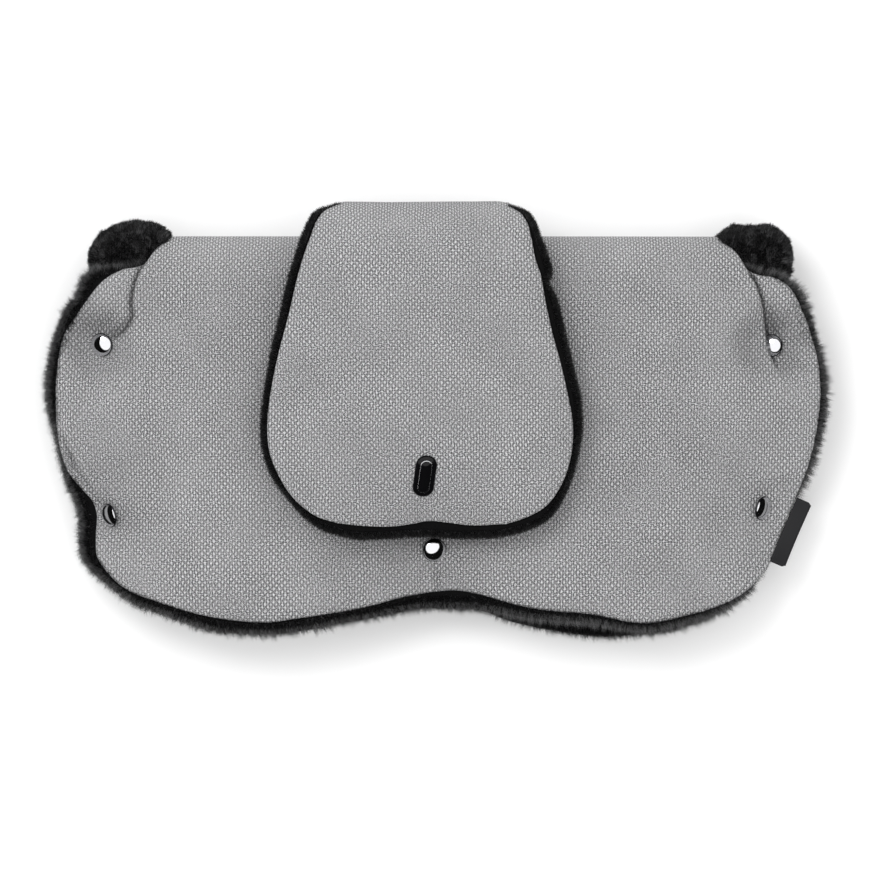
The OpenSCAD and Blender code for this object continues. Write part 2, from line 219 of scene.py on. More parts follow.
def crowd_ends(n, k):
    x = np.linspace(0.0, 1.0, n)
    return x - k * np.sin(2 * np.pi * x) / (2 * np.pi)


def crowd_start(n, k):
    x = np.linspace(0.0, 1.0, n)
    return x - k * np.sin(np.pi * x) / np.pi


def track_distance(x, y, points):
    """Distance from a crease line with its sign, positive on its left, and the share of its length there."""
    p = line(points, n=120)
    tree = point_tree(p)
    found = [tree.find((a, b, 0.0)) for a, b in zip(x.ravel(), y.ravel())]
    d = np.array([f[2] for f in found]).reshape(x.shape)
    near = np.array([f[1] for f in found]).reshape(x.shape)
    along_line = np.gradient(p, axis=0)[near]
    left = along_line[..., 0] * (y - p[near, 1]) - along_line[..., 1] * (x - p[near, 0])
    return d * np.sign(left), near / (len(p) - 1)


# ---------------------------------------------------------------- meshes
def new_object(name, verts, faces, uv=None, smooth_shade=True):
    mesh = bpy.data.meshes.new(name)
    mesh.from_pydata((np.asarray(verts) * MM).tolist(), [], faces)
    if uv is not None:
        layer = mesh.uv_layers.new(name="UVMap")
        index = np.empty(len(mesh.loops), np.int64)
        mesh.loops.foreach_get("vertex_index", index)
        layer.data.foreach_set("uv", (np.asarray(uv) * MM)[index].ravel())
    mesh.validate()
    mesh.update()
    obj = bpy.data.objects.new(name, mesh)
    bpy.context.scene.collection.objects.link(obj)
    if smooth_shade:
        mesh.polygons.foreach_set("use_smooth", [True] * len(mesh.polygons))
    return obj


def outward(obj):
    bm = bmesh.new()
    bm.from_mesh(obj.data)
    bmesh.ops.recalc_face_normals(bm, faces=bm.faces)
    if bm.calc_volume(signed=True) < 0:
        bmesh.ops.reverse_faces(bm, faces=bm.faces)
    bm.to_mesh(obj.data)
    bm.free()
    return obj


def slab(name, top, under, flat):
    """A closed padded sheet from two grids of points which share their outer rim."""
    rows, cols = top.shape[:2]
    ring = np.zeros((rows, cols), bool)
    ring[0], ring[-1], ring[:, 0], ring[:, -1] = True, True, True, True
    first = np.arange(rows * cols).reshape(rows, cols)
    second = first.copy()
    second[~ring] = rows * cols + np.arange((~ring).sum())
    verts = np.vstack([top.reshape(-1, 3), under[~ring]])
    uv = np.vstack([flat.reshape(-1, 2), flat[~ring]])

    def quads(g):
        return np.stack([g[:-1, :-1], g[:-1, 1:], g[1:, 1:], g[1:, :-1]], -1).reshape(-1, 4)

    faces = np.vstack([quads(first), quads(second)[:, ::-1]]).tolist()
    return outward(new_object(name, verts, faces, uv))


def tufts(name, roots, ways, lengths, width, lean, highlight_share=0.12, highlight_material=None):
    """Fur: one thin closed spike for each root, bent towards lean. A random share of them takes a lighter
    colour, as painted highlight on the pile.
    """
    n = len(roots)
    ways = ways / np.linalg.norm(ways, axis=1)[:, None]
    side = np.cross(ways, rng.normal(size=(n, 3)))
    side /= np.linalg.norm(side, axis=1)[:, None]
    other = np.cross(ways, side)
    wide = (width * rng.uniform(0.7, 1.3, n))[:, None]
    verts = np.empty((n, 4, 3))
    start = roots - ways * 0.8
    for k in range(3):
        a = 2 * math.pi * k / 3
        verts[:, k] = start + wide * (math.cos(a) * side + math.sin(a) * other)
    verts[:, 3] = roots + (ways + lean) * lengths[:, None]
    verts[..., 2] = np.maximum(verts[..., 2], 0.1)
    base = np.arange(n)[:, None] * 4
    faces = np.concatenate([base + np.array(f) for f in ([0, 2, 1], [0, 1, 3], [1, 2, 3], [2, 0, 3])])
    obj = new_object(name, verts.reshape(-1, 3), faces.tolist(), smooth_shade=False)
    for m in (fur, highlight_material or fur_tip_painted_highlight):
        obj.data.materials.append(m)
    pick = (rng.random(n) < highlight_share).astype(np.int32)
    obj.data.polygons.foreach_set("material_index", np.tile(pick, 4))
    return obj


# ---------------------------------------------------------------- materials
def principled(name, color, roughness, metallic=0.0, **extra):
    m = bpy.data.materials.new(name)
    m.use_nodes = True
    b = m.node_tree.nodes["Principled BSDF"]
    b.inputs["Base Color"].default_value = (*color, 1.0)
    b.inputs["Roughness"].default_value = roughness
    b.inputs["Metallic"].default_value = metallic
    for key, value in extra.items():
        b.inputs[key.replace("_", " ")].default_value = value
    return m


class Nodes:
    """Short names for the shader nodes that the materials share."""

    def __init__(self, m):
        self.tree = m.node_tree
        self.bsdf = m.node_tree.nodes["Principled BSDF"]

    def add(self, kind, **settings):
        n = self.tree.nodes.new(kind)
        for key, value in settings.items():
            setattr(n, key, value)
        return n

    def link(self, a, b):
        self.tree.links.new(a, b)

    def math(self, op, a, b=0.0, clamp=False):
        n = self.add("ShaderNodeMath", operation=op, use_clamp=clamp)
        for i, value in enumerate((a, b)):
            if isinstance(value, (int, float)):
                n.inputs[i].default_value = value
            else:
                self.link(value, n.inputs[i])
        return n.outputs[0]

    def noise(self, vector, scale, detail=2.0, stretch=None):
        if stretch:
            s = self.add("ShaderNodeVectorMath", operation="MULTIPLY")
            self.link(vector, s.inputs[0])
            s.inputs[1].default_value = stretch
            vector = s.outputs[0]
        n = self.add("ShaderNodeTexNoise")
        n.inputs["Scale"].default_value = scale
        n.inputs["Detail"].default_value = detail
        self.link(vector, n.inputs["Vector"])
        return n.outputs["Fac"]


def woven(name, cell_x, cell_y):
    """Grey basket weave: bright floats in staggered rows, dark gaps, the grain of the yarn, and painted
    shade along the creases from a point attribute.
    """
    m = principled(name, (0.28, 0.28, 0.286), 0.92,
                   Sheen_Weight=0.12, Sheen_Roughness=0.5, Specular_IOR_Level=0.25)
    k = Nodes(m)
    uv = k.add("ShaderNodeTexCoord").outputs["UV"]
    warp = k.math("SUBTRACT", k.noise(uv, 70.0, 2.0), 0.5)
    drift = k.math("SUBTRACT", k.noise(uv, 240.0, 1.0, (1.0, 1.3, 1.0)), 0.5)
    parts = k.add("ShaderNodeSeparateXYZ")
    k.link(uv, parts.inputs[0])
    u = k.math("ADD", parts.outputs[0], k.math("MULTIPLY", warp, 0.0024))
    v = k.math("ADD", parts.outputs[1], k.math("MULTIPLY", drift, 0.0020))
    turn_u, turn_v = (k.math("MULTIPLY", c, 2 * math.pi / cell) for c, cell in ((u, cell_x), (v, cell_y)))
    floats = k.math("MULTIPLY", k.math("COSINE", turn_u), k.math("COSINE", turn_v))
    ribs = k.math("COSINE", k.math("MULTIPLY", turn_u, 2.0))
    picks = k.math("COSINE", k.math("MULTIPLY", turn_v, 2.0))
    patchy = k.math("ADD", k.math("MULTIPLY", k.noise(uv, 26.0, 3.0), 1.8), 0.05)
    knit = k.math("ADD", k.math("MULTIPLY", floats, 0.23), k.math("MULTIPLY", ribs, 0.17))
    knit = k.math("ADD", knit, k.math("MULTIPLY", picks, 0.09))
    knit = k.math("MULTIPLY", knit, patchy)
    yarn = k.math("SUBTRACT", k.noise(uv, 1500.0, 3.0), 0.5)
    rough_patch = k.math("ADD", k.math("MULTIPLY", k.noise(uv, 11.0, 2.0), 3.6), 1.0)
    weave = k.math("ADD", knit, k.math("MULTIPLY", yarn, rough_patch))
    cloud = k.math("MULTIPLY", k.math("SUBTRACT", k.noise(uv, 30.0, 2.0), 0.5), 0.16)
    # painted shade: a point attribute darkens the base colour along the creases and folds
    painted_shade_amount = k.add("ShaderNodeAttribute", attribute_name="painted_crease_shade").outputs["Fac"]
    painted_crease_shade = k.math("MULTIPLY", painted_shade_amount, -0.62)
    level = k.math("ADD", k.math("ADD", k.math("ADD", weave, 0.5), cloud), painted_crease_shade, clamp=True)
    ramp = k.add("ShaderNodeValToRGB")
    stops = ramp.color_ramp.elements
    stops[0].position, stops[0].color = 0.0, (0.045, 0.045, 0.047, 1)
    stops[1].position, stops[1].color = 1.0, (0.72, 0.72, 0.735, 1)
    for position, value in ((0.25, 0.125), (0.5, 0.278), (0.75, 0.46)):
        e = stops.new(position)
        e.color = (value, value, value * 1.02, 1)
    k.link(level, ramp.inputs[0])
    k.link(ramp.outputs[0], k.bsdf.inputs["Base Color"])
    bump = k.add("ShaderNodeBump")
    bump.inputs["Strength"].default_value = 0.8
    bump.inputs["Distance"].default_value = 0.0007
    k.link(weave, bump.inputs["Height"])
    k.link(bump.outputs[0], k.bsdf.inputs["Normal"])
    return m


def plush(name, value):
    m = principled(name, (value, value, value * 1.05), 0.9, Specular_IOR_Level=0.08)
    k = Nodes(m)
    where = k.add("ShaderNodeTexCoord").outputs["Object"]
    pile = k.noise(where, 420.0, 3.0)
    bump = k.add("ShaderNodeBump")
    bump.inputs["Strength"].default_value = 0.9
    bump.inputs["Distance"].default_value = 0.0015
    k.link(pile, bump.inputs["Height"])
    k.link(bump.outputs[0], k.bsdf.inputs["Normal"])
    return m


weave = woven("grey_weave", 0.00358, 0.0040)
flap_weave = woven("grey_weave_flap", 0.0035, 0.0039)
fur_base = plush("fur_base", 0.004)
fur = principled("fur_pile", (0.011, 0.011, 0.0115), 0.6, Specular_IOR_Level=0.3)
# painted highlight: a lighter colour for some of the pile, standing in for light on the hairs
fur_tip_painted_highlight = principled("fur_tip_painted_highlight", (0.075, 0.075, 0.077), 0.5, Specular_IOR_Level=0.4)
# painted highlight: a pale grey for the outer hairs, standing in for the light they catch and let through at
# the edge
fur_fringe_painted_highlight = principled("fur_fringe_painted_highlight", (0.15, 0.15, 0.152), 0.6, Specular_IOR_Level=0.3)
chrome = principled("polished_steel", (0.80, 0.80, 0.82), 0.07, 1.0)
# painted shade: dark metal for the collar of each snap cap
rim_painted_shade = principled("snap_rim_painted_shade", (0.05, 0.05, 0.055), 0.3, 1.0)
steel = principled("plated_steel", (0.55, 0.55, 0.56), 0.3, 1.0)
gloss_black = principled("gloss_black", (0.003, 0.003, 0.0034), 0.08, Specular_IOR_Level=0.28)
silver = principled("silver_line", (0.7, 0.7, 0.72), 0.2, 1.0)
label_cloth = principled("label_satin", (0.016, 0.016, 0.0175), 0.55, Specular_IOR_Level=0.2)
pocket_cloth = principled("pocket_cloth", (0.02, 0.02, 0.022), 0.8, Sheen_Weight=0.2)

# ---------------------------------------------------------------- outer fabric: front, fold and back
cols = crowd_ends(300, 0.70)
apex = [(-169, APEX_V), (182, APEX_V)]
front_grid = fill(FRONT_BOTTOM, apex, to_pattern(FRONT_LEFT, front_v),
                  to_pattern(FRONT_RIGHT, front_v), cols, crowd_start(172, 0.55))
back_grid = fill(to_pattern(BACK_BOTTOM, back_v), apex, to_pattern(FRONT_LEFT, back_v),
                 to_pattern(FRONT_RIGHT, back_v), cols, crowd_start(96, 0.5))
pattern = np.concatenate([front_grid, back_grid[-2::-1]], 0)
outline = np.vstack([pattern[0], pattern[1:, -1], pattern[-1, -2::-1], pattern[-2:0:-1, 0]])
reach = edge_distance(pattern, line(np.vstack([outline, outline[:1]]), n=6000))

CREASES = [  # line, depth in mm, half width in mm
    ([(-190, 70), (-181, 62), (-170, 58)], 1.0, 6.0),
    ([(-216, 50), (-225, 47), (-234, 44)], 1.3, 4.5),
    ([(-206, 58), (-198, 62), (-190, 66)], 1.8, 3.0),
    ([(-214, 58), (-219, 66), (-222, 73)], 1.4, 3.5),
    ([(-214, 60), (-209, 66), (-203, 70)], 1.6, 3.0),
    ([(206, 70), (196, 60), (184, 55)], 0.9, 6.0),
    ([(216, 60), (221, 68), (224, 76)], 1.3, 3.2),
    ([(218, 46), (227, 40), (236, 37)], 1.4, 3.5),
    ([(216, 44), (222, 35), (228, 28)], 1.2, 3.5),
    ([(209, 74), (212, 66), (215, 58)], 3.3, 3.8),
    ([(-204, 60), (-196, 63), (-191, 69)], 1.5, 3.6),
    ([(-235, -6), (-229, -21), (-220, -37), (-213, -47)], 1.9, 2.0),
    ([(-217, -46.5), (-211, -50), (-205, -51)], 1.6, 3.2),
    ([(-206, -62), (-203, -72), (-204, -84)], 0.9, 5.0),
    ([(-198, -56), (-186, -60), (-172, -60)], 0.9, 6.0),
    ([(208, -42), (216, -36), (226, -31)], 1.5, 4.0),
    ([(204, -60), (201, -72), (203, -84)], 0.9, 5.0),
    ([(198, -54), (186, -58), (172, -58)], 0.8, 6.0),
    ([(0, -85), (0.5, -94), (2, -105)], 2.3, 2.6),
    ([(-5, -86), (-9, -95), (-14, -107)], 1.0, 3.0),
    ([(5, -86), (10, -95), (16, -106)], 1.0, 3.0),
    ([(-8, -73), (-20, -70), (-34, -71)], 1.1, 3.5),
    ([(7, -73), (20, -70), (36, -72)], 1.3, 3.5),
    ([(-8, -80), (-22, -82), (-38, -80)], 0.8, 5.0),
    ([(8, -80), (22, -82), (38, -80)], 0.8, 5.0),
]
RIDGES = [
    ([(-233, 0), (-229, -12), (-222, -25), (-209, -45)], 2.3, 2.8),
    ([(-202, 90), (-206, 78), (-212, 66)], 1.2, 7.0),
    ([(210, -62), (205, -76), (202, -88)], 1.2, 6.0),
]
FOLDS = [  # line, height in mm, reach in mm; above 0 the line's left side stands over its right side
    ([(-203, 56), (-198, 58.5), (-193.5, 63), (-190, 69),
      (-190.6, 77), (-189, 87), (-186, 97), (-181.6, 105)], -4.2, 11.0),
    ([(215, 38), (211.5, 45), (209.3, 53), (208.5, 60.5),
      (206.9, 68.5), (204.5, 77.5), (200.6, 89), (195, 100)], 6.6, 11.0),
]
TILTS = [  # centre, slope along x, slope along y, radius
    (-205.4, -56.0, 0.42, 0.10, 9.0),
    (206.0, -51.4, -0.45, 0.12, 10.0),
    (214.0, 51.0, -0.25, 0.0, 8.0),
]


def crease_shade(x, y):
    """How dark the painted shade is at each point along the sharp creases and the folds, from 0 to 1."""
    out = np.zeros_like(x)
    for points, height, half in CREASES:
        d, share = track_distance(x, y, points)
        fade = np.sin(np.pi * np.clip(0.12 + share * 0.76, 0, 1))
        out += 0.20 * height / half * fade * np.exp(-((d / half) ** 2))
    for points, height, _ in FOLDS:
        d, share = track_distance(x, y, points)
        fade = np.sin(np.pi * np.clip(0.06 + share * 0.88, 0, 1)) ** 0.4
        out += 0.85 * fade * np.exp(-(np.abs(d * np.sign(height) + 0.8) / 0.95) ** 1.6)
    return np.clip(out, 0.0, 1.0)


def relief(x, y):
    """Soft unevenness of the padded front, with the creases that run to the snaps."""
    out = 0.55 * np.sin(x / 31.0 + 1.3 * np.sin(y / 47.0)) * np.cos(y / 27.0 + 0.8)
    out += 0.35 * np.sin(x / 13.7 + y / 19.0) * np.sin(y / 15.1 - x / 37.0)
    out += 0.9 * np.cos((x + 120) / 62.0) * np.cos((y - 10) / 70.0)
    for sign, group in ((-1.0, CREASES), (1.0, RIDGES)):
        for points, height, half in group:
            d, share = track_distance(x, y, points)
            fade = np.sin(np.pi * np.clip(0.12 + share * 0.76, 0, 1)) ** 0.6
            out += sign * height * fade * np.exp(-((d / half) ** 2))
    for points, height, far in FOLDS:
        d, share = track_distance(x, y, points)
        d = d * np.sign(height)
        fade = np.sin(np.pi * np.clip(0.10 + share * 0.80, 0, 1)) ** 0.5
        high = smooth((d + 0.7) / 1.7) * np.exp(-((np.maximum(d, 0) / far) ** 2))
        groove = np.exp(-(np.abs(d + 0.7) / 1.3) ** 1.4)
        out += fade * (abs(height) * high - 3.2 * groove)
    for cx, cy, kx, ky, r in TILTS:
        d2 = (x - cx) ** 2 + (y - cy) ** 2
        out += (kx * (x - cx) + ky * (y - cy)) * np.exp(-d2 / (r * r))
    return out


def rim(d, w):
    """0 at the edge and 1 from w inwards, as a quarter round."""
    return np.sqrt(np.clip(1.0 - (1.0 - np.clip(d / w, 0, 1)) ** 2, 0, 1))


def along(grid):
    """Height of the unevenness on the front, faded out over the fold and calmer on the back."""
    v = grid[..., 1]
    y = np.where(v < APEX_V, np.minimum(v, BAR_Y + 26.0), 2 * APEX_V - v)
    front_share = 1.0 - smooth((v - BAR_Y - 8.0) / 30.0)
    back_share = smooth((v - BACK_V) / 40.0)
    calm = 0.5 * np.sin(grid[..., 0] / 33.0) * np.cos(y / 29.0) - 0.5
    return relief(grid[..., 0], y) * front_share + calm * back_share


bumps = np.maximum(along(pattern) * rim(reach, 9.0), -4.4)
near_fold = smooth((np.minimum(pattern[..., 1], 2 * APEX_V - pattern[..., 1]) - BAR_Y + 2.0) / 24.0)
edge_drop = RIM_DROP - 3.6 * near_fold
edge_round = rim(reach, RIM_W - 9.0 * near_fold)
top_off = LAYERS - edge_drop + edge_drop * edge_round + bumps
under_off = LAYERS - edge_drop + (COVER_IN - LAYERS + edge_drop) * edge_round + bumps
under_off = np.where(pattern[..., 1] < BAR_Y + 20.0, under_off, np.maximum(under_off, COVER_IN))
outer = slab(
    "outer_fabric",
    lay(pattern[..., 0], pattern[..., 1], top_off),
    lay(pattern[..., 0], pattern[..., 1], under_off),
    pattern,
)
outer.data.materials.append(weave)
# painted shade along the creases and folds, kept on the front only and stored as a point attribute for the
# weave's colour
shade = crease_shade(pattern[..., 0], np.minimum(pattern[..., 1], BAR_Y + 26.0))
painted_shade_on_front = np.where(pattern[..., 1] < APEX_V, shade, 0.0)
painted_crease_shade = outer.data.attributes.new("painted_crease_shade", "FLOAT", "POINT")
painted_crease_shade.data.foreach_set("value", np.pad(painted_shade_on_front.ravel(), (0, len(outer.data.vertices) - painted_shade_on_front.size)))
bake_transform(outer)
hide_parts("front_cover", "back_cover", "front_wadding", "back_wadding")

# ---------------------------------------------------------------- fur linings and their edges


def lining(name, bottom, left, right, convert, shrink):
    """One half of the fur lining, ending at the fold. Gives the piece and its outline in the pattern."""
    s, t = crowd_ends(150, 0.6), crowd_start(80, 0.55)
    grid = fill(to_pattern(bottom, convert), [(-170, APEX_V), (181, APEX_V)], to_pattern(left, convert),
                to_pattern(right, convert), s, t)
    loop = np.vstack([grid[-1, :1], grid[::-1, 0][1:], grid[0, 1:], grid[1:, -1]])
    d = edge_distance(grid, line(loop[::2], n=4000))
    pulled = pull_in(grid, loop, shrink)
    top = lay(pulled[..., 0], pulled[..., 1], 2.6 + (LINING - 2.6) * rim(d, 6.0))
    under = lay(pulled[..., 0], pulled[..., 1], 2.6 - 2.6 * rim(d, 6.0))
    if convert is front_v:
        cut = (pulled[..., 1] < BAR_Y) & (d > 6)
        under[..., 2] += np.where(cut, 0.4, 0.0)
    return slab(name, top, under, pulled), loop


def pull_in(grid, loop, amount):
    """Moves the points near the outline inwards, so that the pile can stand beyond the base cloth."""
    centre = np.array([0.0, loop[:, 1].mean()])
    half = np.abs(loop - centre).max(0)
    return centre + (grid - centre) * (1.0 - amount / half)


front_lining, front_loop = lining("fur_lining_front", FUR_BOTTOM, FUR_LEFT, FUR_RIGHT, front_v, 3.4)
back_lining, back_loop = lining("fur_lining_back", FUR_BACK_BOTTOM, FUR_LEFT, FUR_RIGHT, back_v, 3.6)
for obj, body, node in ((front_lining, "front", "front_lining"), (back_lining, "back", "back_lining")):
    obj.data.materials.append(fur_base)
    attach(obj, body)
    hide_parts(node)


def place(x, v, off, step=0.5):
    """A point on the muff with its sideways, lengthwise and outward directions there."""
    p = lay(x, v, off)
    ax = (lay(x + step, v, off) - lay(x - step, v, off)) / (2 * step)
    av = (lay(x, v + step, off) - lay(x, v - step, off)) / (2 * step)
    up = np.cross(ax, av)
    up /= np.maximum(np.linalg.norm(up, axis=1), 1e-9)[:, None]
    return p, ax, av, up


def rim_points(dense, pick, middle):
    """The picked points of an outline and the direction outwards from each, in the pattern."""
    tangent = np.gradient(dense, axis=0)
    tangent /= np.linalg.norm(tangent, axis=1)[:, None]
    p, t = dense[pick], tangent[pick]
    out2 = np.stack([t[:, 1], -t[:, 0]], -1)
    out2 *= np.sign(np.sum(out2 * (p - middle), 1))[:, None]
    return p, out2


def edge_fur(name, loop, n, body, pulled, low, high, length, lean_z, width=0.26, highlight_share=0.08, highlight_material=None):
    """Pile around an open outline, from its lower to its upper side."""
    dense = line(loop[::2], n=5000)
    pick = rng.integers(40, 4960, n)
    # a clump shares its direction and length
    clump = (pick // 9) * 7 + rng.integers(0, 3, n)
    swing = rng.normal(size=(clump.max() + 1, 3))[clump]
    p, out2 = rim_points(dense, pick, np.array([0.0, loop[:, 1].mean()]))
    phi = rng.uniform(low, high, n)
    inward = pulled + 5.0 * (1 - np.cos(phi))
    q = p - out2 * inward[:, None]
    off = 2.6 + np.where(phi > 0, LINING - 2.6, 2.6) * np.sin(phi)
    root, ax, av, up = place(q[:, 0], q[:, 1], off)
    out3 = ax * out2[:, :1] + av * out2[:, 1:]
    out3 /= np.linalg.norm(out3, axis=1)[:, None]
    way = out3 * np.cos(phi)[:, None] + up * np.sin(phi)[:, None]
    way += 0.22 * swing + 0.12 * rng.normal(size=(n, 3))
    size = length * (1.0 + 0.22 * swing[:, 0]) * rng.uniform(0.7, 1.1, n)
    lean = np.zeros((n, 3))
    lean[:, 2] = lean_z
    obj = tufts(name, root, way, np.clip(size, 1.5, length * 1.5), width, lean, highlight_share, highlight_material)
    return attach(obj, body)


edge_fur("fur_edge_front", front_loop, 46000, "front", 3.8, -1.5, 1.5, 4.4, -0.10)
edge_fur("fur_edge_back", back_loop, 36000, "back", 4.0, -0.9, 1.5, 4.6, -0.08)
# the outer hairs mostly take the pale grey, painted highlight along the edges
edge_fur("fur_tips_front", front_loop, 44000, "front", 3.6, -0.5, 0.9, 6.4, -0.10, 0.09, 0.8, fur_fringe_painted_highlight)
edge_fur("fur_tips_back", back_loop, 30000, "back", 3.8, -0.3, 1.1, 6.4, -0.08, 0.09, 0.8, fur_fringe_painted_highlight)


def inside_fur(name, loop, n, body, deep):
    """Pile on the two faces that the hands touch, near the openings."""
    pick = rng.integers(60, 3940, n)
    p, out2 = rim_points(line(loop[::2], n=4000), pick, np.array([0.0, loop[:, 1].mean()]))
    q = p - out2 * rng.uniform(8.0, deep, n)[:, None]
    root, ax, av, up = place(q[:, 0], q[:, 1], np.full(n, 0.3))
    way = -up + 0.35 * rng.normal(size=(n, 3))
    obj = tufts(name, root, way, rng.uniform(2.0, 4.0, n), 0.35, np.zeros((n, 3)))
    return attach(obj, body)


inside_fur("fur_inside_front", front_loop, 16000, "front", 34.0)
inside_fur("fur_inside_back", back_loop, 16000, "back", 34.0)

# ---------------------------------------------------------------- fur ears at the tunnel's ends
EARS = {  # distance from the bar's axis to the pile's tips along the bar, from the fold outwards
    -1: [(-166.5, 27.0), (-169.5, 32.0), (-175, 36.0), (-181.5, 38.2), (-190, 38.0), (-197, 38.4),
         (-204.5, 37.0), (-211, 31.4), (-215.5, 25.0), (-218.8, 19.5), (-220.6, 17.4)],
    1: [(175.5, 26.6), (179, 30.4), (185.5, 34.6), (192, 35.4), (198, 36.2), (210, 36.2),
        (217, 32.6), (221.5, 28.6), (224.3, 22.4), (225.4, 17.4)],
}
EAR_SWELL = {  # share of the full thickness, by degrees round the bar
    10: 0.05, 24: 0.2, 40: 0.55, 58: 0.88, 75: 1, 105: 1, 128: 0.85, 143: 0.5, 152: 0.12,
}
EAR_IN, EAR_LOW = 16.6, 16.9
PILE = 2.4


def ear(name, side, body, node):
    """The turned-out end of the tunnel's fur: a puffy collar over the far side of the bar."""
    rows, half_n = 84, 48
    cols_n = 2 * half_n
    shape = line(EARS[side], n=200)
    shape[:, 1] = np.maximum(shape[:, 1] - PILE, 17.6)
    x_in, x_out = shape[0, 0] + side * PILE, shape[-1, 0] - side * PILE
    share_out = (1 - np.cos(np.pi * (np.arange(half_n) + 0.5) / half_n)) / 2
    x_top = x_in + (x_out - x_in) * share_out
    order = np.argsort(shape[:, 0])
    r_top = np.interp(x_top, shape[order, 0], shape[order, 1])
    A = np.linspace(math.radians(10), math.radians(152), rows)[:, None]
    swell = np.interp(np.degrees(A), list(EAR_SWELL), list(EAR_SWELL.values()))
    lump = 1 + 0.05 * np.sin(9 * A + x_top / 5.0) + 0.04 * np.sin(5 * A - x_top / 3.3 + side)
    lump = lump + 0.035 * np.sin(17 * A + 1.7 * np.sin(x_top / 4.1)) * np.sin(x_top / 2.6 + 3 * A)
    fold = np.exp(-(((x_top - side * 209 + 6.5 * side * (A - 1.1)) / 2.4) ** 2)) * (side < 0)
    r_out = EAR_LOW + (r_top - EAR_LOW) * swell * lump - 2.2 * fold * swell
    r_in = np.full_like(r_out, EAR_IN)
    x = np.concatenate([np.broadcast_to(x_top, r_out.shape), np.broadcast_to(x_top[::-1], r_out.shape)], 1)
    r = np.concatenate([r_out, r_in], 1)
    y = BAR_Y + r * np.sin(A)
    z = BAR_Z + r * np.cos(A)
    pts = np.stack([x, y, z], -1)
    caps = [pts[0].mean(0), pts[-1].mean(0)]
    verts = np.vstack([pts.reshape(-1, 3), caps])
    g = np.arange(rows * cols_n).reshape(rows, cols_n)
    h = np.roll(g, -1, 1)
    faces = np.stack([g[:-1], h[:-1], h[1:], g[1:]], -1).reshape(-1, 4).tolist()
    faces += [[int(h[0, i]), int(g[0, i]), rows * cols_n] for i in range(cols_n)]
    faces += [[int(g[-1, i]), int(h[-1, i]), rows * cols_n + 1] for i in range(cols_n)]
    obj = outward(new_object(name, verts, faces))
    obj.data.materials.append(fur_base)
    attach(obj, body)
    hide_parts(node)
    # pile over the whole lobe
    mesh = obj.data
    area = np.empty(len(mesh.polygons))
    mesh.polygons.foreach_get("area", area)
    normal = np.empty(len(mesh.polygons) * 3)
    mesh.polygons.foreach_get("normal", normal)
    normal = normal.reshape(-1, 3)
    n = 44000
    pick = rng.choice(len(area), n, p=area / area.sum())
    co = np.array([v.co for v in mesh.vertices]) / MM
    roots = np.empty((n, 3))
    for i, f in enumerate(pick):
        vs = mesh.polygons[int(f)].vertices
        w = rng.dirichlet(np.ones(len(vs)))
        roots[i] = w @ co[list(vs)]
    key = (roots / 3.2).astype(int)
    clump = (key[:, 0] * 73 + key[:, 1] * 179 + key[:, 2] * 283) % 4096
    swing = rng.normal(size=(4096, 3))[clump]
    way = normal[pick] + 0.36 * swing + 0.2 * rng.normal(size=(n, 3))
    lean = np.tile(np.array([side * 0.05, 0.1, -0.15]), (n, 1))
    size = rng.uniform(1.8, 3.2, n) * (1.0 + 0.16 * swing[:, 0])
    # painted highlight: some clumps get many more light-coloured hairs, for the sheen on the ear's lumps
    painted_shine_share = np.where(swing[:, 1] > 0.5, 0.42, 0.14)
    pile = tufts(name + "_pile", roots, way, size, 0.26, lean, painted_shine_share)
    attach(pile, body)


ear("tunnel_fur_left", -1, "back", "fur_cuff_left")
ear("tunnel_fur_right", 1, "back", "fur_cuff_right")

# ---------------------------------------------------------------- flap
FLAP_TOP = 32.2
FLAP_R = FRONT_R + FLAP_TOP
FLAP_OUT = 1.8


def flap_lay(x, v, off):
    """The flap's own wrap: a wider roll over the fold, which ends just short of the fold's far side."""
    x, v, off = np.broadcast_arrays(np.asarray(x, float), np.asarray(v, float), np.asarray(off, float))
    turn = np.maximum(0.0, (v - BAR_Y) / FLAP_R)
    level = inner_z(x, np.minimum(v, BAR_Y))
    base = inner_z(x, np.full_like(x, BAR_Y)) - FRONT_R
    r = FRONT_R + off
    y = np.where(turn > 0, BAR_Y + (r + FLAP_OUT) * np.sin(turn), v)
    z = np.where(turn > 0, base + r * np.cos(turn), level + off)
    return np.stack([x, y, z], -1)


def flap_v(y):
    y = np.asarray(y, float)
    s = np.clip((y - BAR_Y) / (FLAP_R + FLAP_OUT), 0.0, 1.0)
    return np.where(y <= BAR_Y, y, BAR_Y + FLAP_R * np.arcsin(s))


FLAP_END_V = BAR_Y + FLAP_R * math.radians(73)


def flap_side(points, tail_x, grow=0.0):
    """A side of the flap in its pattern, with its end on the fold, moved outwards by grow."""
    p = np.vstack([to_pattern(points, flap_v), [[tail_x, FLAP_END_V]]])
    p[:, 0] += grow * np.sign(tail_x)
    return p


flap_cols, flap_rows = crowd_ends(150, 0.6), crowd_start(150, 0.55)
flap_grid = fill(FLAP_BOTTOM, [(-61, FLAP_END_V), (43, FLAP_END_V)], flap_side(FLAP_LEFT, -61),
                 flap_side(FLAP_RIGHT, 43), flap_cols, flap_rows)
flap_loop = np.vstack([flap_grid[::-1, 0], flap_grid[0, 1:], flap_grid[1:, -1]])
flap_reach = edge_distance(flap_grid, line(flap_loop[::2], n=4000))


